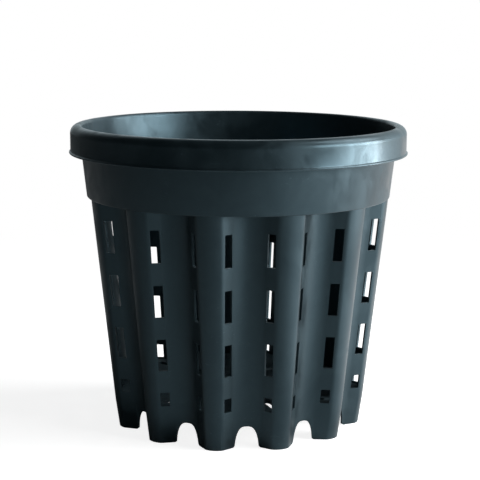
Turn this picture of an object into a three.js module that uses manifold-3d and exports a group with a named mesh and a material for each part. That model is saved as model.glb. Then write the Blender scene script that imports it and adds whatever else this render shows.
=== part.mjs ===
// Air pruning pot, 12 litres: one injection moulding with a rolled rim, a plain collar, twelve
// hollow lobes that stand as feet, columns of air slots in the lobe flanks and a raised, drained floor.
// Millimetres, +Z up, the base centre at the origin, one lobe centred on -Y.

import * as THREE from 'three';
import { mergeVertices } from 'three/addons/utils/BufferGeometryUtils.js';
import Module from 'manifold-3d';

const WALL = 2.3; // moulded wall, all over
const TOTAL_HEIGHT = 282.8;

// Rolled rim
const RIM_RADIUS = 157.5; // widest, at the outside of the skirt
const RIM_ROLL = { across: 8, down: 9 }; // semi-axes of the roll from the shoulder to the skirt
const LIP_RADIUS = 146.6; // inside edge of the mouth
const LIP_STEP = { height: 2.9, width: 2.2 }; // the lip stands up from the shoulder of the roll
const SKIRT_EDGE_Z = 256.6;
const SKIRT_FLARE = 1.3; // small bead along the lower edge of the skirt
const RIM_SEGMENTS = 72;

// Collar, the plain ring between the rim and the lobes
const COLLAR_EDGE_Z = 215.9;
const COLLAR_RADIUS = 142.7; // outside, at its lower edge
const COLLAR_TOP_RADIUS = 147.1; // outside, where it meets the rim
const COLLAR_ROUND = 1.2; // radius along its lower edge

// Lobes. Each half lobe runs cap, corner, flat strip, concave valley. The strip is turned by
// STRIP_TILT from the lobe's front, the same at foot and head, so each strip is one plane.
const LOBES = 12;
const LOBE_STEP = (2 * Math.PI) / LOBES;
const STRIP_TILT = 53;
const LOBE_FOOT = { peak: 118.3, capRadius: 15, capTurn: 26, cornerRadius: 6.2, strip: 9.6 };
const LOBE_HEAD = { peak: 141.8, capRadius: 29, capTurn: 20, cornerRadius: 7, strip: 10.4 };
const FOOT_TAPER = { height: 26, inset: 1 }; // the feet draw in a little more towards the soles

// Air slots, one column in each flank strip
const SLOT_WIDTH = 8.4;
const SLOT_ROWS = [
  { bottom: 35.5, top: 48.5 },
  { bottom: 69, top: 98.6 },
  { bottom: 118.8, top: 148.5 },
  { bottom: 168.9, top: 198.9 },
];

// Arches between the feet
const ARCH_HEIGHT = 19.5;
const ARCH_HALF_WIDTH = 10.2;
const ARCH_HALF_TOP = 6; // half width where the round of the arch begins
const ARCH_SPRING = 13.5; // height where the round begins

// Floor
const FLOOR_TOP = 34.3; // at the wall; just under the lowest slots
const FLOOR_THICKNESS = 2.8;
const FLOOR_CROWN = { rise: 3, radius: 70, top: 14 }; // raised middle, so that water runs to the slots
const FLOOR_RIB = { thickness: 2, depth: 5, ring: 34 };
const DRAIN_OUTER = { from: 76, to: 104, width: 7 };
const DRAIN_INNER = { from: 42, to: 66, width: 6 };
const CENTRE_HOLE = { radius: 4, circle: 20, count: 6 };

const degrees = THREE.MathUtils.degToRad;
const wasm = await Module();
wasm.setup();

// three.js geometry in and out of the boolean kernel

function toSolid(geometry) {
  const bare = geometry.clone();
  bare.deleteAttribute('normal');
  bare.deleteAttribute('uv');
  const joined = mergeVertices(bare, 1e-4);
  return new wasm.Manifold(new wasm.Mesh({
    numProp: 3,
    vertProperties: new Float32Array(joined.attributes.position.array),
    triVerts: new Uint32Array(joined.index.array),
  }));
}

function toGeometry(solid) {
  const mesh = solid.getMesh();
  const geometry = new THREE.BufferGeometry();
  geometry.setAttribute('position', new THREE.BufferAttribute(new Float32Array(mesh.vertProperties), 3));
  geometry.setIndex(new THREE.BufferAttribute(new Uint32Array(mesh.triVerts), 1));
  const facets = geometry.toNonIndexed();
  facets.computeVertexNormals();
  return facets;
}

// Solid of revolution about Z from a closed profile of [radius, z], given counter-clockwise.
function revolve(profile, segments) {
  const points = [...profile, profile[0]].map(([radius, z]) => new THREE.Vector2(radius, z));
  return new THREE.LatheGeometry(points, segments).rotateX(Math.PI / 2);
}

// Solid through level outlines that share their point count, counter-clockwise seen from above.
function loft(sections) {
  const count = sections[0].outline.length;
  const positions = sections.flatMap(({ z, outline }) => outline.flatMap((p) => [p.x, p.y, z]));
  const index = [];
  for (let level = 0; level + 1 < sections.length; level += 1) {
    for (let i = 0; i < count; i += 1) {
      const a = level * count + i;
      const b = level * count + ((i + 1) % count);
      index.push(a, b, b + count, a, b + count, a + count);
    }
  }
  const last = (sections.length - 1) * count;
  for (const [a, b, c] of THREE.ShapeUtils.triangulateShape(sections[0].outline.slice(), [])) {
    index.push(a, c, b);
  }
  for (const [a, b, c] of THREE.ShapeUtils.triangulateShape(sections.at(-1).outline.slice(), [])) {
    index.push(last + a, last + b, last + c);
  }
  const geometry = new THREE.BufferGeometry();
  geometry.setAttribute('position', new THREE.Float32BufferAttribute(positions, 3));
  geometry.setIndex(index);
  return geometry;
}

// Lobe section: points of half a lobe from its middle to the middle of the valley, as
// { side, out, turn }: sideways and outward from the pot's axis, and the turn of the surface normal.

function halfLobe({ peak, capRadius, capTurn, cornerRadius, strip }) {
  const cap = degrees(capTurn);
  const beta = degrees(STRIP_TILT);
  const valleyEnd = LOBE_STEP / 2;
  const points = [];
  const arc = (start, radius, from, to, steps) => {
    for (let i = 1; i <= steps; i += 1) {
      const turn = from + ((to - from) * i) / steps;
      points.push({
        side: start.side + radius * Math.abs(Math.sin(turn) - Math.sin(from)),
        out: start.out - radius * Math.abs(Math.cos(from) - Math.cos(turn)),
        turn,
      });
    }
    return points.at(-1);
  };
  points.push({ side: 0, out: peak, turn: 0 });
  const capEnd = arc(points[0], capRadius, 0, cap, 2);
  const cornerEnd = arc(capEnd, cornerRadius, cap, beta, 3);
  const stripEnd = {
    side: cornerEnd.side + strip * Math.cos(beta),
    out: cornerEnd.out - strip * Math.sin(beta),
    turn: beta,
  };
  points.push(stripEnd);
  const slope = Math.tan(valleyEnd);
  const valleyRadius = (slope * stripEnd.out - stripEnd.side)
    / (Math.sin(beta) - Math.sin(valleyEnd) + slope * (Math.cos(valleyEnd) - Math.cos(beta)));
  arc(stripEnd, valleyRadius, beta, valleyEnd, 3);
  return { points, cornerEnd, stripEnd };
}

const foot = halfLobe(LOBE_FOOT);
const head = halfLobe(LOBE_HEAD);
const mix = (a, b, t) => a + (b - a) * t;
const heightShare = (z) => z / COLLAR_EDGE_Z;

// From a lobe's own frame (sideways, outward) to the pot's plan
function inPlan(side, out, azimuth) {
  return new THREE.Vector2(
    side * Math.cos(azimuth) + out * Math.sin(azimuth),
    side * Math.sin(azimuth) - out * Math.cos(azimuth),
  );
}

// Outline of all the lobes at height z, moved inward by wall, and more so near the soles
function lobeOutline(z, wall) {
  const t = heightShare(z);
  const inset = wall + FOOT_TAPER.inset * Math.max(0, 1 - z / FOOT_TAPER.height);
  const half = foot.points.map((low, i) => {
    const high = head.points[i];
    const turn = mix(low.turn, high.turn, t);
    return {
      side: mix(low.side, high.side, t) - inset * Math.sin(turn),
      out: mix(low.out, high.out, t) - inset * Math.cos(turn),
    };
  });
  const left = half.slice(1, -1).reverse().map(({ side, out }) => ({ side: -side, out }));
  const lobe = [...left, ...half];
  return Array.from({ length: LOBES }, (_, i) => i * LOBE_STEP)
    .flatMap((azimuth) => lobe.map(({ side, out }) => inPlan(side, out, azimuth)));
}

function lobeLoft(levels, wall) {
  return toSolid(loft(levels.map((z) => ({ z, outline: lobeOutline(z, wall) }))));
}

// Rim and collar in one revolved section, with the ledge that closes the tops of the valleys
function rimAndCollar() {
  const collarInside = COLLAR_RADIUS - WALL + 0.1;
  const ledgeTop = COLLAR_EDGE_Z + WALL;
  const crestRadius = RIM_RADIUS - RIM_ROLL.across;
  const shoulder = TOTAL_HEIGHT - LIP_STEP.height;
  const rollCentreZ = shoulder - RIM_ROLL.down;
  const roll = (inset, from, to, steps) => Array.from({ length: steps + 1 }, (_, i) => {
    const angle = degrees(mix(from, to, i / steps));
    return [
      crestRadius + (RIM_ROLL.across - inset) * Math.sin(angle),
      rollCentreZ + (RIM_ROLL.down - inset) * Math.cos(angle),
    ];
  });
  const collar = [
    [COLLAR_RADIUS - COLLAR_ROUND, COLLAR_EDGE_Z],
    [COLLAR_RADIUS + 0.1, COLLAR_EDGE_Z + COLLAR_ROUND],
    [COLLAR_TOP_RADIUS + 2, shoulder - WALL - 0.8],
  ];
  const skirt = [
    [RIM_RADIUS - WALL + 0.4, SKIRT_EDGE_Z],
    [RIM_RADIUS + SKIRT_FLARE - 0.3, SKIRT_EDGE_Z],
    [RIM_RADIUS + SKIRT_FLARE, SKIRT_EDGE_Z + 0.8],
    [RIM_RADIUS - 0.2, SKIRT_EDGE_Z + 2.6],
  ];
  const lip = [
    [LIP_RADIUS + LIP_STEP.width, shoulder + 0.2],
    [LIP_RADIUS + LIP_STEP.width - 0.5, TOTAL_HEIGHT],
    [LIP_RADIUS + 0.8, TOTAL_HEIGHT],
    [LIP_RADIUS, TOTAL_HEIGHT - 0.8],
  ];
  const inside = [
    [collarInside, ledgeTop + 1.5],
    [collarInside - 1.5, ledgeTop],
    [100, ledgeTop],
    [100, COLLAR_EDGE_Z],
  ];
  const channel = roll(WALL, 20, 90, 2);
  return toSolid(revolve([...collar, ...channel, ...skirt, ...roll(0, 90, 0, 4), ...lip, ...inside], RIM_SEGMENTS));
}

// What the floor adds below and above the plain plate: the crown, a ring rib and radial ribs
function floorStiffening() {
  const under = FLOOR_TOP - FLOOR_THICKNESS;
  const { thickness, depth, ring } = FLOOR_RIB;
  const crown = new THREE.CylinderGeometry(FLOOR_CROWN.top, FLOOR_CROWN.radius, FLOOR_CROWN.rise + 1, 24);
  crown.rotateX(Math.PI / 2).translate(0, 0, FLOOR_TOP - 1 + (FLOOR_CROWN.rise + 1) / 2);
  let solid = toSolid(crown);
  solid = solid.add(toSolid(revolve([
    [ring, under - depth], [ring + thickness, under - depth], [ring + thickness, under + 1], [ring, under + 1],
  ], 24)));
  for (let i = 0; i < LOBES; i += 1) {
    const azimuth = (i + 0.5) * LOBE_STEP;
    const valley = foot.points.at(-1).out;
    const plan = [[0.5, ring + 1], [-0.5, ring + 1], [-0.5, valley], [0.5, valley]]
      .map(([side, out]) => inPlan(side * thickness, out, azimuth));
    solid = solid.add(toSolid(loft([
      { z: under - depth, outline: plan },
      { z: under + 1, outline: plan },
    ])));
  }
  return solid;
}

function counterClockwise(outline) {
  return THREE.ShapeUtils.area(outline) < 0 ? outline.reverse() : outline;
}

// Upright prism through the floor: an obround from one radius to another at an azimuth
function drainCutter({ from, to, width }, azimuth) {
  const r = width / 2;
  const halfRound = (middle, start) => [0, 1, 2, 3].map((i) => {
    const a = start + (Math.PI * i) / 3;
    return inPlan(r * Math.cos(a), middle + r * Math.sin(a), azimuth);
  });
  const outline = [...halfRound(from + r, Math.PI), ...halfRound(to - r, 0)];
  const ring = counterClockwise(outline);
  return toSolid(loft([{ z: 15, outline: ring }, { z: FLOOR_TOP + 10, outline: ring }]));
}

function drainHole(azimuth) {
  const outline = Array.from({ length: 10 }, (_, i) => {
    const a = (2 * Math.PI * i) / 10;
    return inPlan(CENTRE_HOLE.radius * Math.cos(a), CENTRE_HOLE.circle + CENTRE_HOLE.radius * Math.sin(a), azimuth);
  });
  const ring = counterClockwise(outline);
  return toSolid(loft([{ z: 15, outline: ring }, { z: FLOOR_TOP + 10, outline: ring }]));
}

// Cutter for one air slot: level ends, sides along the flank strip, square to the strip
function slotCutter({ bottom, top }, azimuth, hand) {
  const section = (z) => {
    const t = heightShare(z);
    const outer = { side: mix(foot.cornerEnd.side, head.cornerEnd.side, t), out: mix(foot.cornerEnd.out, head.cornerEnd.out, t) };
    const inner = { side: mix(foot.stripEnd.side, head.stripEnd.side, t), out: mix(foot.stripEnd.out, head.stripEnd.out, t) };
    const length = Math.hypot(inner.side - outer.side, inner.out - outer.out);
    const along = { side: (inner.side - outer.side) / length, out: (inner.out - outer.out) / length };
    const outward = { side: -along.out, out: along.side };
    const middle = { side: (inner.side + outer.side) / 2, out: (inner.out + outer.out) / 2 };
    const corner = (a, n) => inPlan(
      hand * (middle.side + (along.side * a * SLOT_WIDTH) / 2 + outward.side * n),
      middle.out + (along.out * a * SLOT_WIDTH) / 2 + outward.out * n,
      azimuth,
    );
    return { z, outline: counterClockwise([corner(-1, -6), corner(1, -6), corner(1, 3), corner(-1, 3)]) };
  };
  return toSolid(loft([section(bottom), section(top)]));
}

// Cutter for one arch: a tunnel along the valley's own radius
function archCutter(azimuth) {
  const shape = new THREE.Shape();
  shape.moveTo(-ARCH_HALF_WIDTH - 0.5, -2);
  shape.lineTo(ARCH_HALF_WIDTH + 0.5, -2);
  shape.quadraticCurveTo(ARCH_HALF_TOP + 1.6, ARCH_SPRING * 0.6, ARCH_HALF_TOP + 0.8, ARCH_SPRING);
  shape.bezierCurveTo(ARCH_HALF_TOP - 0.8, ARCH_HEIGHT - 1, ARCH_HALF_TOP * 0.45, ARCH_HEIGHT, 0, ARCH_HEIGHT);
  shape.bezierCurveTo(-ARCH_HALF_TOP * 0.45, ARCH_HEIGHT, -ARCH_HALF_TOP + 0.8, ARCH_HEIGHT - 1, -ARCH_HALF_TOP - 0.8, ARCH_SPRING);
  shape.quadraticCurveTo(-ARCH_HALF_TOP - 1.6, ARCH_SPRING * 0.6, -ARCH_HALF_WIDTH - 0.5, -2);
  const tunnel = new THREE.ExtrudeGeometry(shape, { depth: 60, bevelEnabled: false, curveSegments: 3 });
  tunnel.rotateX(Math.PI / 2).translate(0, -70, 0).rotateZ(azimuth);
  return toSolid(tunnel);
}

function makePot() {
  const azimuths = Array.from({ length: LOBES }, (_, i) => i * LOBE_STEP);
  const outside = lobeLoft([0, FOOT_TAPER.height, COLLAR_EDGE_Z + 1], 0);
  const soilSpace = lobeLoft([FLOOR_TOP, COLLAR_EDGE_Z + WALL + 1], WALL);
  const underSpace = lobeLoft([-1, FOOT_TAPER.height, FLOOR_TOP - FLOOR_THICKNESS], WALL);
  let pot = outside.add(rimAndCollar()).subtract(soilSpace).subtract(underSpace).add(floorStiffening());
  for (const azimuth of azimuths) {
    for (const row of SLOT_ROWS) {
      pot = pot.subtract(slotCutter(row, azimuth, 1)).subtract(slotCutter(row, azimuth, -1));
    }
    pot = pot.subtract(archCutter(azimuth + LOBE_STEP / 2));
    pot = pot.subtract(drainCutter(DRAIN_OUTER, azimuth)).subtract(drainCutter(DRAIN_INNER, azimuth));
  }
  for (let i = 0; i < CENTRE_HOLE.count; i += 1) {
    pot = pot.subtract(drainHole((i * 2 * Math.PI) / CENTRE_HOLE.count));
  }
  return pot;
}

const blackPolypropylene = new THREE.MeshStandardMaterial({ color: 0x1e2a2e, roughness: 0.45, metalness: 0 });

const group = new THREE.Group();
group.name = 'air_pruning_pot';
const pot = new THREE.Mesh(toGeometry(makePot()), blackPolypropylene);
pot.name = 'pot';
group.add(pot);

export default group;
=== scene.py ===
"""Air pruning pot, 12 litres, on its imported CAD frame.

Laid out as a Blender add-on and run as a script: one operator for each part of the moulding, one
that joins and finishes it, and one for the stage. Lengths are in metres, +Z is up, the base centre
is the origin and one lobe is centred on -Y.
"""

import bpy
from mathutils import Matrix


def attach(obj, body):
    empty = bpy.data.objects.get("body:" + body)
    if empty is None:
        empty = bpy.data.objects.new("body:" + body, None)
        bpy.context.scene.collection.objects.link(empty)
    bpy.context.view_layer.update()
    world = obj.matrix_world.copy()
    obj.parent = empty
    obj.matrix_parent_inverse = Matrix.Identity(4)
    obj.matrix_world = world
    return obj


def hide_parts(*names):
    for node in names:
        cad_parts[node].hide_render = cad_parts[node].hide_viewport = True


bl_info = {
    "name": "Air Pruning Pot",
    "version": (1, 0, 0),
    "blender": (4, 5, 0),
    "location": "View3D > Sidebar > Pot",
    "description": "Moulded air pruning pot with slotted lobes, its black plastic and a small studio",
    "category": "Object",
}

import math

import bpy
from bpy.props import FloatProperty, FloatVectorProperty, IntProperty, PointerProperty
from bpy.types import Operator, Panel, PropertyGroup
from mathutils import Matrix, Vector

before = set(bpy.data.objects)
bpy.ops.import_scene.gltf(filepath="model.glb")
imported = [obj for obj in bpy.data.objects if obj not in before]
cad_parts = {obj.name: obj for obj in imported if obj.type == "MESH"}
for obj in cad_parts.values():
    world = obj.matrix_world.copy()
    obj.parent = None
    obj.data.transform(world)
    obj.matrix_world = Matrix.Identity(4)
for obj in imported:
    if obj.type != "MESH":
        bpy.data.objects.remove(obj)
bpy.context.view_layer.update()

MM = 0.001
UP = (0, 0, 1)
ALONG_Y = (0, 1, 0)
AGAINST_Y = (0, -1, 0)
AXIS = (0, 0, 0)  # the pot's axis, for turning and drawing in
LOBES = 12
HALF_LOBE = math.pi / LOBES
SAME_PLACE = 0.01 * MM  # how close a vertex lies to the place where it is looked for
DOUBLES = 0.004 * MM  # how close two vertices lie that become one


# Sizes and colours


def size(name, default, description):
    return FloatProperty(name=name, description=description, default=default, min=0.0,
                         unit="LENGTH", subtype="DISTANCE")


def turn(name, degrees, description):
    return FloatProperty(name=name, description=description, default=math.radians(degrees),
                         unit="ROTATION", subtype="ANGLE")


def colour(name, default, description):
    return FloatVectorProperty(name=name, description=description, default=default, size=3, min=0, max=1,
                               subtype="COLOR")


def fraction(name, default, description):
    return FloatProperty(name=name, description=description, default=default, min=0, max=1,
                         subtype="FACTOR")


def energy(name, default, description):
    return FloatProperty(name=name, description=description, default=default, min=0, unit="POWER")


class PotWallSettings(PropertyGroup):
    """Fluted wall: lobes, slots and arches"""

    wall: size("Wall", 2.3 * MM, "Thickness of the moulded wall")
    strip_tilt: turn("Strip turn", 53, "How far the flat strips turn from a lobe's front")
    foot_peak: size("Foot reach", 118.3 * MM, "From the axis to the front of a foot, before it draws in")
    foot_cap: size("Foot front radius", 15 * MM, "Radius of a lobe's front at the ground")
    foot_cap_turn: turn("Foot front turn", 26, "Where a lobe's front meets its corner, at the ground")
    foot_corner: size("Foot corner radius", 6.2 * MM, "Radius of a lobe's corner at the ground")
    foot_strip: size("Foot strip", 9.6 * MM, "Width of the flat strip at the ground")
    head_peak: size("Head reach", 141.8 * MM, "From the axis to the front of a lobe, under the collar")
    head_cap: size("Head front radius", 29 * MM, "Radius of a lobe's front under the collar")
    head_cap_turn: turn("Head front turn", 20, "Where a lobe's front meets its corner, under the collar")
    head_corner: size("Head corner radius", 7 * MM, "Radius of a lobe's corner under the collar")
    head_strip: size("Head strip", 10.4 * MM, "Width of the flat strip under the collar")
    slot_width: size("Slot width", 8.4 * MM, "Width of an air slot, along the strip")
    slot_round: size("Slot corner", 0.5 * MM, "Radius in the corners of an air slot")
    arch_height: size("Arch height", 19.5 * MM, "Height of the arch between two feet")
    arch_half: size("Arch half width", 10.8 * MM, "Half the width of an arch on the ground")
    foot_round: size("Foot corner", 1.2 * MM, "How high the rounded corner beside an arch starts")
    taper_height: size("Foot taper height", 26 * MM, "Height below which the feet draw in to their soles")
    taper: size("Foot taper", 1 * MM, "How far the feet draw in at their soles")
    edge_round: size("Edge round", 0.32 * MM, "Rounding of the edges of slots, arches and feet")


class PotRimSettings(PropertyGroup):
    """Collar, channel, skirt and rolled rim"""

    collar_edge: size("Collar edge height", 215.9 * MM, "Height of the collar's lower edge")
    collar_radius: size("Collar radius", 142.7 * MM, "Outside of the collar at its lower edge")
    height: size("Height", 282.79 * MM, "Height of the rim's crest above the ground")
    rim_radius: size("Rim radius", 157.5 * MM, "Outside of the skirt")
    mouth_radius: size("Mouth radius", 146.6 * MM, "Inside of the rim's roll")
    roll: size("Roll", 7.7 * MM, "Radius of the rim's outer roll")
    skirt_edge: size("Skirt edge height", 256.6 * MM, "Height of the skirt's lower edge")
    bead: size("Bead", 1.2 * MM, "How far the bead on the skirt's edge stands out")
    steps: IntProperty(name="Steps", description="Steps round the rim", default=240, min=48, max=480)


class PotFloorSettings(PropertyGroup):
    """Raised floor with its drains and ribs"""

    top: size("Floor height", 34.3 * MM, "Top of the floor at the wall")
    thickness: size("Floor thickness", 2.8 * MM, "Thickness of the floor")
    crown: size("Crown", 3 * MM, "How far the floor's middle stands above its edge")
    rib_depth: size("Rib depth", 5 * MM, "How far the ribs reach below the floor")
    outer_drain: size("Outer drain width", 7 * MM, "Width of the drains under the lobes")
    inner_drain: size("Inner drain width", 6 * MM, "Width of the drains nearer the middle")
    hole: size("Hole radius", 4 * MM, "Radius of the six holes round the middle")


class PotFinishSettings(PropertyGroup):
    """Black polypropylene"""

    plastic: colour("Plastic", (0.0078, 0.0132, 0.016), "Colour of the plastic")
    rubbed: colour("Rubbed plastic", (0.036, 0.056, 0.064), "Colour where the plastic is rubbed and dusty")
    gloss: colour("Gloss colour", (0.52, 0.84, 1.0), "Cast of the plastic's reflections")
    roughness: fraction("Roughness", 0.28, "Roughness where the plastic is clean")
    dusty_below: size("Dusty below", 50 * MM, "Height below which what faces up is dusty: the floor")
    dust_dulls: fraction("Dust dulls", 0.45, "Roughness that the dust adds")


class PotStageSettings(PropertyGroup):
    """Camera and studio"""

    distance: size("Camera distance", 1360.9 * MM, "From the pot's axis to the camera, level")
    eye: size("Camera height", 406.4 * MM, "Height of the camera above the ground")
    side: turn("Camera side", 10.3, "How far the camera stands round the pot from -Y towards +X")
    lens: FloatProperty(name="Lens", description="Focal length for a sensor 36 mm wide", default=108.69,
                        min=1, unit="CAMERA")
    ground: colour("Ground", (0.7, 0.7, 0.7), "Colour of the floor")
    ground_glow: fraction("Ground brightness", 0.86, "White that the floor adds for what sees it")
    room: fraction("Room", 0.04, "Even light from the room")
    key: energy("Key light", 42.0, "Power of the soft light low on the right")
    beside: energy("Side light", 18.0, "Power of the soft light between the key and the camera")
    above: energy("Top light", 16.0, "Power of the soft light high on the right")


# Working by hand, in code


def clear_hands():
    """Leaves edit mode and deselects everything, the CAD nodes included."""
    if bpy.context.object and bpy.context.object.mode != "OBJECT":
        bpy.ops.object.mode_set(mode="OBJECT")
    bpy.ops.object.select_all(action="DESELECT")


def take(piece):
    clear_hands()
    piece.select_set(True)
    bpy.context.view_layer.objects.active = piece


def edit(piece):
    take(piece)
    bpy.ops.object.mode_set(mode="EDIT")


def settle(piece, name=None):
    """Puts a piece's place into its mesh, so that its object is at the origin."""
    take(piece)
    bpy.ops.object.transform_apply(location=True, rotation=True, scale=True)
    if name:
        piece.name = piece.data.name = name
    return piece


def pick(piece, kind, test):
    """Selects the faces, edges or vertices in edit mode for which test holds. Returns how many."""
    bpy.ops.mesh.select_mode(type=kind)
    bpy.ops.mesh.select_all(action="DESELECT")
    bpy.ops.object.mode_set(mode="OBJECT")
    mesh = piece.data
    items = {"FACE": mesh.polygons, "EDGE": mesh.edges, "VERT": mesh.vertices}[kind]
    count = 0
    for item in items:
        item.select = bool(test(item))
        count += item.select
    bpy.ops.object.mode_set(mode="EDIT")
    return count


def join(pieces, name):
    clear_hands()
    for piece in pieces:
        piece.select_set(True)
    bpy.context.view_layer.objects.active = pieces[0]
    bpy.ops.object.join()
    return settle(bpy.context.object, name)


def weld(piece, outward=True):
    """Merges doubles, then turns all faces outwards."""
    edit(piece)
    bpy.ops.mesh.select_all(action="SELECT")
    bpy.ops.mesh.remove_doubles(threshold=DOUBLES)
    if outward:
        bpy.ops.mesh.normals_make_consistent(inside=False)
    bpy.ops.object.mode_set(mode="OBJECT")


def apply_modifier(piece, kind, **values):
    take(piece)
    modifier = piece.modifiers.new(kind.title(), kind)
    for key, value in values.items():
        setattr(modifier, key, value)
    bpy.ops.object.modifier_apply(modifier=modifier.name)


def combine(piece, other, operation):
    """Boolean of a piece with another one, which is used up."""
    apply_modifier(piece, "BOOLEAN", object=other, operation=operation, solver="EXACT")
    mesh = other.data
    bpy.data.objects.remove(other)
    bpy.data.meshes.remove(mesh)


class Pencil:
    """Draws a section with the free end of a line of edges, pushed and turned in edit mode."""

    def __init__(self, x, y, z):
        clear_hands()
        self.at = Vector((x, y, z))
        bpy.ops.mesh.primitive_plane_add(size=MM, location=self.at)
        self.piece = bpy.context.object
        bpy.ops.object.mode_set(mode="EDIT")
        bpy.ops.mesh.select_mode(type="VERT")
        bpy.ops.mesh.select_all(action="SELECT")
        bpy.ops.mesh.merge(type="CENTER")

    def push(self, dx=0.0, dy=0.0, dz=0.0):
        bpy.ops.mesh.extrude_region_move(TRANSFORM_OT_translate={"value": (dx, dy, dz)})
        self.at += Vector((dx, dy, dz))

    def to(self, radius, z):
        """A straight line to a radius and height, for a section that stands in the plane of X and Z."""
        self.push(dx=radius - self.at.x, dz=z - self.at.z)

    def swing(self, centre, degrees, steps, axis=UP):
        """An arc about a centre, counter-clockwise about axis. Blender's spin turns the other way."""
        bpy.ops.mesh.spin(steps=steps, angle=-math.radians(degrees), center=centre, axis=axis)
        turned = Matrix.Rotation(math.radians(degrees), 3, axis) @ (self.at - Vector(centre))
        self.at = turned + Vector(centre)

    def close(self):
        """Merges the last point with the first one, on which it lies."""
        bpy.ops.mesh.select_all(action="SELECT")
        bpy.ops.mesh.remove_doubles(threshold=DOUBLES)

    def done(self, name=None):
        bpy.ops.object.mode_set(mode="OBJECT")
        return settle(self.piece, name)


def lobe_values(wall, share, inset):
    """A lobe's sizes at a share of the height from foot to head, moved inwards by inset."""

    def mix(low, high):
        return low + (high - low) * share

    return {
        "peak": mix(wall.foot_peak, wall.head_peak) - inset,
        "cap": mix(wall.foot_cap, wall.head_cap) - inset,
        "cap_turn": math.degrees(mix(wall.foot_cap_turn, wall.head_cap_turn)),
        "corner": mix(wall.foot_corner, wall.head_corner) - inset,
        "strip": mix(wall.foot_strip, wall.head_strip),
        "tilt": math.degrees(wall.strip_tilt),
    }


def draw_half_lobe(z, peak, cap, cap_turn, corner, strip, tilt, slot=0.0):
    """Half a lobe's section at height z: front, corner, flat strip and valley up to the valley's middle."""
    pen = Pencil(0, -peak, z)
    pen.swing((0, -peak + cap, z), cap_turn, 6)
    normal = Vector((math.sin(math.radians(cap_turn)), -math.cos(math.radians(cap_turn)), 0))
    pen.swing(pen.at - normal * corner, tilt - cap_turn, 5)
    along = Vector((math.cos(math.radians(tilt)), math.sin(math.radians(tilt)), 0))
    for length in ((strip - slot) / 2, slot, (strip - slot) / 2) if slot else (strip,):
        pen.push(*(along * length))
    # the valley's radius: its arc leaves the strip smoothly and meets its mirror image smoothly
    beta, slope = math.radians(tilt), math.tan(HALF_LOBE)
    side, out = pen.at.x, -pen.at.y
    opened = math.sin(beta) - math.sin(HALF_LOBE) + slope * (math.cos(HALF_LOBE) - math.cos(beta))
    valley = (slope * out - side) / opened
    centre = pen.at + Vector((math.sin(beta), -math.cos(beta), 0)) * valley
    pen.swing(centre, math.degrees(HALF_LOBE) - tilt, 18)
    return pen.done()


def repeat(count):
    """Repeats the mesh in edit mode round the axis as copies, so that it stands there count times."""
    bpy.ops.mesh.select_all(action="SELECT")
    turned = -math.radians(360 * (count - 1) / count)
    bpy.ops.mesh.spin(steps=count - 1, dupli=True, angle=turned, center=AXIS, axis=UP)


def all_round(piece):
    """Half a lobe becomes all twelve: mirrored, then repeated round the axis."""
    edit(piece)
    bpy.ops.mesh.select_all(action="SELECT")
    bpy.ops.mesh.symmetrize(direction="POSITIVE_X", threshold=DOUBLES / 2)
    repeat(LOBES)
    bpy.ops.mesh.select_all(action="SELECT")
    bpy.ops.mesh.remove_doubles(threshold=DOUBLES)
    bpy.ops.object.mode_set(mode="OBJECT")
    return piece


def lobed_prism(share, inset, bottom, top, name):
    """Solid with the outline of all the lobes, for trimming what stands inside the wall."""
    piece = all_round(draw_half_lobe(bottom, **lobe_values(bpy.context.scene.pot_wall, share, inset)))
    edit(piece)
    bpy.ops.mesh.select_all(action="SELECT")
    bpy.ops.mesh.edge_face_add()
    bpy.ops.mesh.extrude_region_move(TRANSFORM_OT_translate={"value": (0, 0, top - bottom)})
    bpy.ops.object.mode_set(mode="OBJECT")
    weld(piece)
    return settle(piece, name)


def spin_solid(piece, steps):
    """Turns a section in the plane of X and Z into a solid round the axis."""
    edit(piece)
    bpy.ops.mesh.select_all(action="SELECT")
    bpy.ops.mesh.spin(steps=steps, angle=math.tau, center=AXIS, axis=UP)
    bpy.ops.object.mode_set(mode="OBJECT")
    weld(piece)
    return piece


# The parts of the moulding


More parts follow.
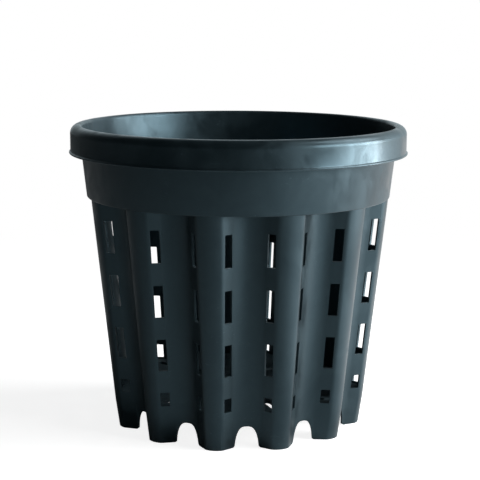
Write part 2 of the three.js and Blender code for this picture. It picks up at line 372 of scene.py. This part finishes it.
class POT_OT_wall(Operator):
    """Build the fluted wall: twelve hollow lobes with slotted flanks, standing as feet"""

    bl_idname = "pot.wall"
    bl_label = "Fluted Wall"

    slot_rows = ((35.5, 48.5), (69, 98.6), (118.8, 148.5), (168.9, 198.9))  # lower and upper edges, in mm
    border = 0.4 * MM  # narrow border left round each slot, for its rounded corners
    over_arch = 2.5 * MM  # from an arch's top to the level line above it
    into_ledge = 1.2 * MM  # how far the wall runs up into the ledge
    bell = (3.2, 0.62)  # powers that give an arch the shape of a bell
    corner_end = 1.27  # where the rounded corner beside an arch ends, in half widths of the arch
    sole_reach = 0.5 * MM  # below this, a vertex of the thick wall belongs to its soles
    head_reach = 1 * MM  # this far above the collar's edge, it belongs to its head
    sharp = math.radians(50)  # edges that turn by more than this are rounded

    def execute(self, context):
        wall, rim = context.scene.pot_wall, context.scene.pot_rim
        head_z = rim.collar_edge
        opening = wall.slot_width + 2 * self.border
        foot = draw_half_lobe(0.0, slot=opening, **lobe_values(wall, 0, 0))
        head = draw_half_lobe(head_z, slot=opening, **lobe_values(wall, 1, 0))
        sheet = join([foot, head], "pot_wall")
        edit(sheet)
        bpy.ops.mesh.select_all(action="SELECT")
        bpy.ops.mesh.bridge_edge_loops()
        self.level(wall.arch_height + self.over_arch)
        self.level(wall.taper_height)
        for bottom, top in self.slot_rows:
            self.level(bottom * MM - self.border)
            self.level(top * MM + self.border)
        self.draw_in(sheet, wall)
        self.raise_arch(sheet, wall, head_z)
        self.open_slots(sheet, wall)
        self.lengthen(sheet, wall, head_z)
        all_round(sheet)
        self.thicken(sheet, wall, head_z)
        return {"FINISHED"}

    @staticmethod
    def level(z):
        """A level line of vertices round the sheet."""
        bpy.ops.mesh.select_all(action="SELECT")
        bpy.ops.mesh.bisect(plane_co=(0, 0, z), plane_no=UP)

    def draw_in(self, sheet, wall):
        """Draws the soles in a little, and the level line over the arches by its share of that."""
        for height in (0.0, wall.arch_height + self.over_arch):
            part = 1 - height / wall.taper_height
            pick(sheet, "VERT", lambda v: abs(v.co.z - height) < SAME_PLACE)
            drawn = 1 - wall.taper * part / wall.foot_peak
            bpy.ops.transform.resize(value=(drawn, drawn, 1), center_override=AXIS)

    def raise_arch(self, sheet, wall, head_z):
        """Lifts the lowest vertices in the valley to the line of the arch, each along the wall's slope.

        The arch is a bell, and beside it the foot's corner is rounded.
        """
        side, foot = self.bell
        middle = Vector((math.sin(HALF_LOBE), -math.cos(HALF_LOBE), 0))
        across = Vector((math.cos(HALF_LOBE), math.sin(HALF_LOBE), 0))
        slope = (wall.head_peak - wall.foot_peak) / head_z + wall.taper / wall.taper_height
        bpy.ops.object.mode_set(mode="OBJECT")
        low = [v.co.copy() for v in sheet.data.vertices if v.co.z < SAME_PLACE]
        bpy.ops.object.mode_set(mode="EDIT")
        for place in low:
            out = abs(place.dot(across)) / wall.arch_half
            if out < self.corner_end and place.dot(middle) > 0:
                lift = wall.foot_round * ((self.corner_end - max(out, 1)) / (self.corner_end - 1)) ** 2
                if out < 1:
                    lift = max(wall.arch_height * (1 - out ** side) ** foot, lift)
                pick(sheet, "VERT", lambda v: (v.co - place).length < SAME_PLACE)
                bpy.ops.transform.translate(value=middle * slope * lift + Vector((0, 0, lift)))

    def open_slots(self, sheet, wall):
        """Rounds the corners of each slot's face and takes the face out."""
        strip = Vector((math.sin(wall.strip_tilt), -math.cos(wall.strip_tilt), 0))
        least_width, least_area = 6 * MM, 60 * MM * MM  # more than the borders have, less than the slots

        def is_slot(face):
            flat = Vector((face.normal.x, face.normal.y, 0)).normalized()
            corners = [sheet.data.vertices[i].co for i in face.vertices]
            middle = sum(corners, Vector()) / len(corners)
            wide = max((a - b).xy.length for a in corners for b in corners if abs(a.z - b.z) < SAME_PLACE)
            rows = any(b * MM - self.border < middle.z < t * MM + self.border for b, t in self.slot_rows)
            return abs(flat.dot(strip)) > 0.9999 and rows and wide > least_width

        found = pick(sheet, "FACE", is_slot)
        if found != len(self.slot_rows):
            raise RuntimeError(f"the wall's sheet has {found} faces for slots, not {len(self.slot_rows)}")
        bpy.ops.mesh.inset(thickness=self.border, depth=0, use_individual=True)
        bpy.ops.mesh.bevel(offset=wall.slot_round, segments=3, affect="VERTICES", clamp_overlap=True)
        pick(sheet, "FACE", lambda f: is_slot(f) and f.area > least_area and len(f.vertices) > 8)
        bpy.ops.mesh.delete(type="FACE")

    def lengthen(self, sheet, wall, head_z):
        """Runs the head of the wall a little way up, into the ledge."""
        slope = (wall.head_peak - wall.foot_peak) / head_z
        pick(sheet, "VERT", lambda v: v.co.z > head_z - SAME_PLACE)
        bpy.ops.mesh.select_mode(type="EDGE")
        bpy.ops.mesh.extrude_region_move(TRANSFORM_OT_translate={"value": (0, 0, self.into_ledge)})
        grown = 1 + slope * self.into_ledge / wall.head_peak
        bpy.ops.transform.resize(value=(grown, grown, 1), center_override=AXIS)

    def thicken(self, sheet, wall, head_z):
        """Turns the sheet outwards, gives it its wall inwards, levels feet and head, rounds the edges."""
        weld(sheet)
        outward = sum(1 if f.normal.xy.dot(f.center.xy) > 0 else -1 for f in sheet.data.polygons)
        if outward < 0:
            edit(sheet)
            bpy.ops.mesh.select_all(action="SELECT")
            bpy.ops.mesh.flip_normals()
            bpy.ops.object.mode_set(mode="OBJECT")
        apply_modifier(sheet, "SOLIDIFY", thickness=wall.wall, offset=-1.0, use_even_offset=True,
                       use_rim=True)
        edit(sheet)
        pick(sheet, "VERT", lambda v: v.co.z < self.sole_reach)
        bpy.ops.transform.resize(value=(1, 1, 0), center_override=AXIS)
        pick(sheet, "VERT", lambda v: v.co.z > head_z + self.head_reach)
        bpy.ops.transform.resize(value=(1, 1, 0), center_override=(0, 0, head_z + self.into_ledge))
        bpy.ops.object.mode_set(mode="OBJECT")
        apply_modifier(sheet, "BEVEL", width=wall.edge_round, segments=2, limit_method="ANGLE",
                       angle_limit=self.sharp, use_clamp_overlap=True, harden_normals=False)


class POT_OT_rim(Operator):
    """Build the collar, the ledge under it, the channel, the skirt and the rolled rim"""

    bl_idname = "pot.rim"
    bl_label = "Collar and Rim"

    lean = 0.108  # how far the collar leans out for its height
    collar_round = 1.2 * MM  # round along the collar's lower edge
    ledge_round = 1.5 * MM  # round between the collar's inside and the ledge
    bead_round = 0.7 * MM  # round along the bead's lower edge
    roof_drop = 10.4 * MM  # from the crest down to the start of the channel's roof
    ledge_radius = 117 * MM  # inside of the ledge, before the lobes are cut out of it

    def execute(self, context):
        wall, rim = context.scene.pot_wall, context.scene.pot_rim
        edge, radius = rim.collar_edge, rim.collar_radius
        pen = Pencil(radius - self.collar_round, 0, edge)
        pen.swing((radius - self.collar_round, 0, edge + self.collar_round), 90, 4, AGAINST_Y)
        # collar's outside with a level line in it, then the roof of the channel under the roll
        roof = rim.height - self.roof_drop
        for height in (roof - 24 * MM, roof):
            pen.to(radius + self.lean * (height - edge), height)
        pen.to(pen.at.x + 0.9 * MM, roof + 3.6 * MM)
        crest = rim.rim_radius - rim.roll
        roll = (crest, 0, rim.height - rim.roll)
        under, start = rim.roll - wall.wall, math.radians(12)
        pen.to(crest + under * math.sin(start), roll[2] + under * math.cos(start))
        pen.swing(roll, 78, 8, ALONG_Y)
        # skirt's inside down to its edge
        low = rim.skirt_edge
        for out, up in ((-2.35, 2.4), (-1.9, 0.45), (-1.45, 0)):
            pen.to(rim.rim_radius + out * MM, low + up * MM)
        # bead along the edge
        bead = rim.rim_radius + rim.bead
        pen.to(bead - self.bead_round, low)
        pen.swing((bead - self.bead_round, 0, low + self.bead_round), 90, 4, AGAINST_Y)
        pen.to(bead - 0.1 * MM, low + 1.3 * MM)
        for out, up in ((0.15, 2.3), (-0.05, 3.2)):
            pen.to(rim.rim_radius + out * MM, low + up * MM)
        # outside of the roll, over its crest to the mouth
        pen.to(rim.rim_radius, roll[2])
        pen.swing(roll, -90, 16, ALONG_Y)
        pen.swing((crest, 0, rim.height - (crest - rim.mouth_radius)), -90, 8, ALONG_Y)
        # inside of the collar down to the ledge
        inside = radius - wall.wall + 0.1 * MM
        ledge = edge + wall.wall
        pen.to(inside + (pen.at.x - inside) * 0.4, ledge + 25 * MM)
        pen.to(inside, ledge + self.ledge_round)
        pen.swing((inside - self.ledge_round, 0, ledge + self.ledge_round), 90, 4, ALONG_Y)
        pen.to(self.ledge_radius, ledge)
        pen.to(self.ledge_radius, edge)
        pen.to(radius - self.collar_round, edge)
        pen.close()
        ring = spin_solid(pen.done("pot_rim"), rim.steps)
        # the lobes are open upwards: what lies inside their wall is cut out of the ledge
        core = lobed_prism(1, inset=wall.wall - 0.02 * MM, bottom=edge - 2 * MM, top=ledge + 0.7 * MM,
                           name="core")
        combine(ring, core, "DIFFERENCE")
        return {"FINISHED"}


class POT_OT_floor(Operator):
    """Build the raised floor with its crown, drains, holes and ribs"""

    bl_idname = "pot.floor"
    bl_label = "Floor"

    plate_radius = 126 * MM  # edge of the plate, before it is trimmed to the lobes
    ring_radius = 35 * MM  # middle of the rib that runs round, where the straight ribs start
    rib_reach = 103.5 * MM  # where the straight ribs end, inside the valleys
    rib_width = 2 * MM
    rib_sunk = 0.5 * MM  # how far the ribs reach into the floor
    drain_ends = ((76, 104), (42, 66))  # near and far end of a lobe's outer and inner drain, in mm
    hole_ring = 20 * MM  # from the axis to the round holes

    def execute(self, context):
        floor = context.scene.pot_floor
        top, under = floor.top, floor.top - floor.thickness
        rib_edge = under - floor.rib_depth
        pen = Pencil(0, 0, top + floor.crown)
        for out, z in ((14, top + floor.crown), (42, top + floor.crown / 2), (70, top)):
            pen.to(out * MM, z)
        pen.to(self.plate_radius, top)
        pen.to(self.plate_radius, under)
        # the rib that runs round
        for aside, z in ((1, under), (0.8, rib_edge + 0.3 * MM), (0.5, rib_edge),
                         (-0.5, rib_edge), (-0.8, rib_edge + 0.3 * MM), (-1, under)):
            pen.to(self.ring_radius + aside * MM, z)
        pen.to(0, under)
        plate = spin_solid(pen.done("pot_floor"), 96)
        part = top / context.scene.pot_rim.collar_edge
        trim = lobed_prism(part, inset=1.2 * MM, bottom=10 * MM, top=45 * MM, name="trim")
        combine(plate, trim, "INTERSECT")
        combine(plate, self.drains(floor), "DIFFERENCE")
        combine(plate, self.ribs(under, floor.rib_depth), "UNION")
        return {"FINISHED"}

    @staticmethod
    def drill(radius, out):
        """An upright cylinder through the floor, in edit mode."""
        clear_hands()
        spot = (0, -out, 30 * MM)
        bpy.ops.mesh.primitive_cylinder_add(vertices=24, radius=radius, depth=24 * MM, location=spot)
        tool = settle(bpy.context.object)
        edit(tool)
        return tool

    def drains(self, floor):
        """One lobe's pair of long drains, repeated round the axis, and six round holes."""
        tools = []
        for (near, far), width in zip(self.drain_ends, (floor.outer_drain, floor.inner_drain)):
            middle = near * MM + width / 2
            tools.append(self.drill(width / 2, middle))
            pick(tools[-1], "VERT", lambda v: v.co.y < -middle - SAME_PLACE)
            bpy.ops.transform.translate(value=(0, -(far - near) * MM + width, 0))
            repeat(LOBES)
        tools.append(self.drill(floor.hole, self.hole_ring))
        repeat(6)
        return join(tools, "drains")

    def ribs(self, under, depth):
        """One rib from the ring to a valley, repeated round the axis."""
        clear_hands()
        length = self.rib_reach - self.ring_radius
        middle = (0, -(self.rib_reach + self.ring_radius) / 2, under - depth / 2 + self.rib_sunk / 2)
        bpy.ops.mesh.primitive_cube_add(size=1, location=middle,
                                        scale=(self.rib_width, length, depth + self.rib_sunk))
        rib = settle(bpy.context.object, "ribs")
        edit(rib)
        pick(rib, "FACE", lambda f: f.normal.z < -0.9)
        bpy.ops.transform.resize(value=(0.75, 1, 1), center_override=(0, -70 * MM, under - depth))
        bpy.ops.mesh.select_all(action="SELECT")
        bpy.ops.transform.rotate(value=-HALF_LOBE, orient_axis="Z", center_override=AXIS)
        repeat(LOBES)
        bpy.ops.object.mode_set(mode="OBJECT")
        weld(rib)
        return rib


class POT_OT_moulding(Operator):
    """Join wall, rim and floor into the one moulding, with its plastic, on the CAD frame"""

    bl_idname = "pot.moulding"
    bl_label = "One Moulding"

    def execute(self, context):
        pot = bpy.data.objects["pot_wall"]
        combine(pot, bpy.data.objects["pot_rim"], "UNION")
        combine(pot, bpy.data.objects["pot_floor"], "UNION")
        settle(pot, "pot_moulding")
        weld(pot, outward=False)
        take(pot)
        bpy.ops.object.shade_smooth_by_angle(angle=math.radians(28))
        pot.data.materials.clear()
        pot.data.materials.append(black_polypropylene(context.scene.pot_finish))
        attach(pot, "root")
        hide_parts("pot")
        return {"FINISHED"}


# Plastic


class Board:
    """Lays out the nodes of one tree in columns, from left to right."""

    def __init__(self, tree):
        self.tree = tree
        self.rows = {}

    def add(self, kind, column, label="", **values):
        node = self.tree.nodes.new(kind)
        node.location = (220 * column, -190 * self.rows.get(column, 0))
        self.rows[column] = self.rows.get(column, 0) + 1
        node.label = label
        for key, value in values.items():
            if hasattr(node, key):
                setattr(node, key, value)
            else:
                node.inputs[key.replace("_", " ").title()].default_value = value
        return node

    def link(self, start, end):
        self.tree.links.new(start, end)

    def math(self, column, operation, a, b):
        """Two numbers, each a socket or a plain value."""
        node = self.add("ShaderNodeMath", column, operation=operation)
        for socket, value in zip(node.inputs, (a, b)):
            if isinstance(value, bpy.types.NodeSocket):
                self.link(value, socket)
            else:
                socket.default_value = value
        return node.outputs[0]

    def span(self, column, value, low, high, label=""):
        """A smooth step of value, 0 at low and 1 at high."""
        node = self.add("ShaderNodeMapRange", column, label, interpolation_type="SMOOTHSTEP")
        self.link(value, node.inputs["Value"])
        node.inputs["From Min"].default_value = low
        node.inputs["From Max"].default_value = high
        return node.outputs["Result"]

    def stretch(self, column, vector, scale, rotation=(0, 0, 0)):
        """A place for a texture, stretched along the axes where scale is small."""
        node = self.add("ShaderNodeMapping", column, scale=scale, rotation=rotation)
        self.link(vector, node.inputs["Vector"])
        return node.outputs["Vector"]

    def noise(self, column, vector, scale, detail, roughness, distortion=0.0):
        node = self.add("ShaderNodeTexNoise", column, scale=scale, detail=detail, roughness=roughness,
                        distortion=distortion)
        self.link(vector, node.inputs["Vector"])
        return node.outputs["Fac"]


def effect(name, outputs):
    """A node group that takes a place on the object and puts out masks or heights."""
    tree = bpy.data.node_groups.new(name, "ShaderNodeTree")
    tree.interface.new_socket("Place", in_out="INPUT", socket_type="NodeSocketVector")
    for output in outputs:
        tree.interface.new_socket(output, in_out="OUTPUT", socket_type="NodeSocketFloat")
    board = Board(tree)
    return board, board.add("NodeGroupInput", 0).outputs["Place"], board.add("NodeGroupOutput", 9).inputs


def flow_marks():
    """Cloudy bloom on the gloss, and streaks drawn out upwards as the plastic ran in the mould."""
    board, place, out = effect("flow_marks", ("Cloud", "Streak"))
    cloud = board.noise(2, board.stretch(1, place, (1, 1, 0.8)), 34, detail=6, roughness=0.62,
                        distortion=0.7)
    streak = board.noise(2, board.stretch(1, place, (1, 1, 0.09)), 130, detail=2, roughness=0.6)
    board.link(board.span(3, cloud, 0.37, 0.64), out["Cloud"])
    board.link(board.span(3, streak, 0.38, 0.72), out["Streak"])
    return board.tree


def moulded_grain():
    """Fine uneven skin that the mould leaves, as a height."""
    board, place, out = effect("moulded_grain", ("Height",))
    coarse = board.noise(1, place, 210, detail=2, roughness=0.5)
    fine = board.noise(1, place, 1150, detail=2, roughness=0.6)
    soft = board.math(2, "MULTIPLY", fine, 0.3)
    board.link(board.math(3, "ADD", coarse, soft), out["Height"])
    return board.tree


def scuffs():
    """Short thin scratches two ways round, in patches, and broader rubbed places."""
    board, place, out = effect("scuffs", ("Scratch", "Rub"))
    patch = board.span(3, board.noise(2, place, 26, detail=2, roughness=0.6), 0.5, 0.66)
    lines = []
    for rotation, scale in (((0.3, 0.5, 0.2), (1, 0.03, 1)), ((1.1, 0.2, 0.9), (0.035, 1, 1))):
        drawn = board.noise(2, board.stretch(1, place, scale, rotation), 620, detail=1, roughness=0.5)
        lines.append(board.span(3, drawn, 0.69, 0.76))
    both = board.math(4, "MAXIMUM", lines[0], lines[1])
    board.link(board.math(5, "MULTIPLY", both, patch), out["Scratch"])
    rub = board.noise(2, place, 60, detail=5, roughness=0.72, distortion=0.6)
    board.link(board.math(5, "MULTIPLY", board.span(3, rub, 0.56, 0.74), patch), out["Rub"])
    return board.tree


def dust():
    """Few pale specks of different sizes."""
    board, place, out = effect("dust", ("Speck",))
    cells = board.add("ShaderNodeTexVoronoi", 1, scale=150.0)
    board.link(place, cells.inputs["Vector"])
    chance = board.add("ShaderNodeSeparateColor", 2)
    board.link(cells.outputs["Color"], chance.inputs["Color"])
    chosen = board.span(3, chance.outputs["Red"], 0.93, 0.99)
    reach = board.math(4, "MULTIPLY", chosen, 0.085)
    near = board.math(5, "LESS_THAN", cells.outputs["Distance"], reach)
    board.link(near, out["Speck"])
    return board.tree


def black_polypropylene(finish):
    """Satin black polypropylene with a blue-green cast, a little cloudy, scuffed, rubbed at its edges."""
    material = bpy.data.materials.new("black_polypropylene")
    material.use_nodes = True
    board = Board(material.node_tree)
    shader, output = (material.node_tree.nodes[name] for name in ("Principled BSDF", "Material Output"))
    shader.location, output.location = (2000, 0), (2300, 0)
    place = board.add("ShaderNodeTexCoord", 0).outputs["Object"]

    def use(tree):
        node = board.add("ShaderNodeGroup", 1, node_tree=tree)
        board.link(place, node.inputs["Place"])
        return node.outputs

    flow, grain, marks, specks = use(flow_marks()), use(moulded_grain()), use(scuffs()), use(dust())
    form = board.add("ShaderNodeNewGeometry", 0)
    edge = board.span(2, form.outputs["Pointiness"], 0.515, 0.56, label="Edges rubbed bright")
    up = board.add("ShaderNodeSeparateXYZ", 1)
    board.link(form.outputs["Normal"], up.inputs["Vector"])
    ledge = board.span(2, up.outputs["Z"], 0.35, 0.95, label="Dust on what faces up")

    # how far the plastic is rubbed pale
    worn = board.math(3, "MULTIPLY", marks["Scratch"], 0.55)
    worn = board.math(4, "MAXIMUM", worn, board.math(3, "MULTIPLY", marks["Rub"], 0.3))
    worn = board.math(5, "MAXIMUM", worn, board.math(4, "MULTIPLY", edge, 0.55))
    worn = board.math(6, "MAXIMUM", worn, board.math(5, "MULTIPLY", ledge, 0.08))
    worn = board.math(7, "MAXIMUM", worn, specks["Speck"])
    worn = board.math(8, "ADD", worn, board.math(7, "MULTIPLY", flow["Cloud"], 0.2))
    blend = board.add("ShaderNodeMix", 9, data_type="RGBA", clamp_factor=True)
    board.link(worn, blend.inputs["Factor"])
    blend.inputs["A"].default_value = (*finish.plastic, 1)
    blend.inputs["B"].default_value = (*finish.rubbed, 1)
    board.link(next(o for o in blend.outputs if o.type == "RGBA"), shader.inputs["Base Color"])

    # how rough it is
    rough = board.math(3, "MULTIPLY", flow["Cloud"], 0.15)
    rough = board.math(4, "ADD", rough, board.math(3, "MULTIPLY", flow["Streak"], 0.035))
    rough = board.math(5, "ADD", rough, board.math(4, "MULTIPLY", marks["Rub"], 0.12))
    rough = board.math(6, "ADD", rough, board.math(5, "MULTIPLY", specks["Speck"], 0.3))
    rough = board.math(7, "ADD", rough, finish.roughness)
    tall = board.add("ShaderNodeSeparateXYZ", 1)
    board.link(place, tall.inputs["Vector"])
    low = board.math(2, "LESS_THAN", tall.outputs["Z"], finish.dusty_below)
    dusty = board.math(3, "MULTIPLY", ledge, low)
    rough = board.math(8, "ADD", rough, board.math(4, "MULTIPLY", dusty, finish.dust_dulls))
    board.link(rough, shader.inputs["Roughness"])

    # how its skin stands up and down
    skin = board.add("ShaderNodeBump", 7, "Moulded skin", strength=0.16, distance=0.25 * MM)
    board.link(grain["Height"], skin.inputs["Height"])
    cut = board.add("ShaderNodeBump", 8, "Scratches", strength=0.25, distance=0.05 * MM, invert=True)
    board.link(marks["Scratch"], cut.inputs["Height"])
    board.link(skin.outputs["Normal"], cut.inputs["Normal"])
    board.link(cut.outputs["Normal"], shader.inputs["Normal"])

    shader.inputs["IOR"].default_value = 1.5
    shader.inputs["Specular IOR Level"].default_value = 0.75
    shader.inputs["Specular Tint"].default_value = (*finish.gloss, 1)
    return material


# Stage


def seen_rays(board, column):
    """Two outputs, 1 for their rays: those from the camera, and those off gloss or through glass."""
    path = board.add("ShaderNodeLightPath", column)
    gloss, glass = path.outputs["Is Glossy Ray"], path.outputs["Is Transmission Ray"]
    return path.outputs["Is Camera Ray"], board.math(column + 1, "MAXIMUM", gloss, glass)


class POT_OT_stage(Operator):
    """Build the pale floor, the lights and the camera at the photograph's angle"""

    bl_idname = "pot.stage"
    bl_label = "Stage"

    def execute(self, context):
        stage = context.scene.pot_stage
        self.floor(stage)
        self.world(context, stage)
        self.lights(stage)
        self.camera(context, stage)
        context.scene.view_settings.view_transform = "Standard"
        return {"FINISHED"}

    def floor(self, stage):
        """White floor that keeps the pot's shadow and runs into the white background."""
        clear_hands()
        bpy.ops.mesh.primitive_plane_add(size=12, location=(0, 0, 0))
        ground = bpy.context.object
        ground.name = "stage_floor"
        material = bpy.data.materials.new("stage_floor")
        material.use_nodes = True
        board = Board(material.node_tree)
        shader, output = (material.node_tree.nodes[name] for name in ("Principled BSDF", "Material Output"))
        shader.inputs["Base Color"].default_value = (*stage.ground, 1)
        shader.inputs["Roughness"].default_value = 0.9
        shader.inputs["Specular IOR Level"].default_value = 0.0
        shader.inputs["Emission Color"].default_value = (1, 1, 1, 1)
        camera, gloss = seen_rays(board, 0)
        place = board.add("ShaderNodeTexCoord", 0).outputs["Object"]
        beside = board.add("ShaderNodeVectorMath", 1, "Right of the pot and behind",
                           operation="DOT_PRODUCT")
        beside.inputs[1].default_value = self.place(stage, 110, 1, 0)
        board.link(place, beside.inputs[0])
        gloss = board.math(3, "MULTIPLY", gloss, board.span(2, beside.outputs["Value"], 0.0, 0.3))
        seen = board.math(4, "MAXIMUM", camera, gloss)
        board.link(board.math(5, "MULTIPLY", seen, stage.ground_glow), shader.inputs["Emission Strength"])
        away = board.add("ShaderNodeVectorMath", 1, "From the axis", operation="LENGTH")
        board.link(place, away.inputs[0])
        far = board.math(5, "MULTIPLY", board.span(2, away.outputs["Value"], 0.3, 1.1), seen)
        white = board.add("ShaderNodeEmission", 5)
        blend = board.add("ShaderNodeMixShader", 6)
        board.link(far, blend.inputs["Fac"])
        board.link(shader.outputs["BSDF"], blend.inputs[1])
        board.link(white.outputs["Emission"], blend.inputs[2])
        board.link(blend.outputs["Shader"], output.inputs["Surface"])
        ground.data.materials.append(material)

    @staticmethod
    def world(context, stage):
        """White to the eye all round. Gloss sees it only behind the pot, not far left and not high up."""
        world = bpy.data.worlds.new("studio")
        context.scene.world = world
        world.use_nodes = True
        board = Board(world.node_tree)
        background = world.node_tree.nodes["Background"]
        camera, gloss = seen_rays(board, 0)
        cast = board.add("ShaderNodeMix", 6, "White, a little cool in the gloss", data_type="RGBA")
        board.link(camera, cast.inputs["Factor"])
        cast.inputs["A"].default_value = (0.84, 0.96, 1, 1)
        cast.inputs["B"].default_value = (1, 1, 1, 1)
        board.link(next(o for o in cast.outputs if o.type == "RGBA"), background.inputs["Color"])
        way = board.add("ShaderNodeTexCoord", 0).outputs["Generated"]
        sides = []
        for across, low, high in (((-math.sin(stage.side), math.cos(stage.side), 0), 0.25, 0.6),
                                  ((math.cos(stage.side), math.sin(stage.side), 0), -0.8, -0.1),
                                  ((0, 0, -1), -0.8, -0.5)):
            toward = board.add("ShaderNodeVectorMath", 1, operation="DOT_PRODUCT")
            toward.inputs[1].default_value = across
            board.link(way, toward.inputs[0])
            sides.append(board.span(2, toward.outputs["Value"], low, high))
        back = board.math(4, "MULTIPLY", board.math(3, "MULTIPLY", sides[0], sides[1]), sides[2])
        shown = board.math(6, "MAXIMUM", camera, board.math(5, "MULTIPLY", gloss, back))
        strength = board.add("ShaderNodeMapRange", 7)
        board.link(shown, strength.inputs["Value"])
        strength.inputs["To Min"].default_value = stage.room
        strength.inputs["To Max"].default_value = 1.0
        board.link(strength.outputs["Result"], background.inputs["Strength"])

    @staticmethod
    def place(stage, azimuth, distance, height):
        """A place round the pot, by its angle from the camera's side."""
        angle = stage.side + math.radians(azimuth)
        return Vector((distance * math.sin(angle), -distance * math.cos(angle), height))

    def lights(self, stage):
        clear_hands()
        for name, azimuth, distance, height, aim, wide, tall, power in (
            ("key_light", 90, 1.9, 0.42, 0.15, 1.1, 0.7, stage.key),
            ("side_light", 64, 1.9, 0.7, 0.15, 0.85, 0.7, stage.beside),
            ("top_light", 96, 1.3, 1.35, 0.25, 1.0, 1.0, stage.above),
        ):
            spot = self.place(stage, azimuth, distance, height)
            direction = Vector((0, 0, aim)) - spot
            turned = direction.to_track_quat("-Z", "Y").to_euler()
            bpy.ops.object.light_add(type="AREA", location=spot, rotation=turned)
            lamp = bpy.context.object
            lamp.name = lamp.data.name = name
            lamp.data.shape = "RECTANGLE"
            lamp.data.size, lamp.data.size_y = wide, tall
            lamp.data.energy = power

    def camera(self, context, stage):
        """Camera fitted to the photograph: 9.78 degrees down, 0.08 aside, rolled by 0.27."""
        clear_hands()
        down, aside, roll = math.radians(9.78), math.radians(0.08), math.radians(0.27)
        level = math.cos(down)
        ahead = Vector((math.sin(aside) * level, math.cos(aside) * level, -math.sin(down)))
        right = Vector((math.cos(aside), -math.sin(aside), 0))
        up = right.cross(ahead)
        rolled = right * math.cos(roll) + up * math.sin(roll), up * math.cos(roll) - right * math.sin(roll)
        turned = Matrix.Rotation(stage.side, 3, "Z") @ Matrix((*rolled, -ahead)).transposed()
        spot = self.place(stage, 0, stage.distance, stage.eye)
        bpy.ops.object.camera_add(location=spot, rotation=turned.to_euler())
        camera = bpy.context.object
        camera.name = "camera"
        camera.data.lens = stage.lens
        camera.data.sensor_width = 36
        camera.data.clip_start = 0.05
        context.scene.camera = camera


# Panel and start


class POT_PT_panel(Panel):
    """Builds the pot step by step"""

    bl_idname = "POT_PT_panel"
    bl_label = "Air Pruning Pot"
    bl_space_type = "VIEW_3D"
    bl_region_type = "UI"
    bl_category = "Pot"

    def draw(self, context):
        for operator, settings in STEPS:
            box = self.layout.box()
            box.operator(operator.bl_idname)
            if settings:
                group = getattr(context.scene, settings)
                for name in group.__annotations__:
                    box.prop(group, name)


STEPS = (
    (POT_OT_wall, "pot_wall"),
    (POT_OT_rim, "pot_rim"),
    (POT_OT_floor, "pot_floor"),
    (POT_OT_moulding, "pot_finish"),
    (POT_OT_stage, "pot_stage"),
)
SETTINGS = {
    "pot_wall": PotWallSettings,
    "pot_rim": PotRimSettings,
    "pot_floor": PotFloorSettings,
    "pot_finish": PotFinishSettings,
    "pot_stage": PotStageSettings,
}
CLASSES = (*SETTINGS.values(), *(operator for operator, _ in STEPS), POT_PT_panel)


def register():
    for cls in CLASSES:
        bpy.utils.register_class(cls)
    for name, cls in SETTINGS.items():
        setattr(bpy.types.Scene, name, PointerProperty(type=cls))


def unregister():
    for name in SETTINGS:
        delattr(bpy.types.Scene, name)
    for cls in reversed(CLASSES):
        bpy.utils.unregister_class(cls)


def main():
    register()
    bpy.ops.pot.wall()
    bpy.ops.pot.rim()
    bpy.ops.pot.floor()
    bpy.ops.pot.moulding()
    bpy.ops.pot.stage()


if __name__ == "__main__":
    main()
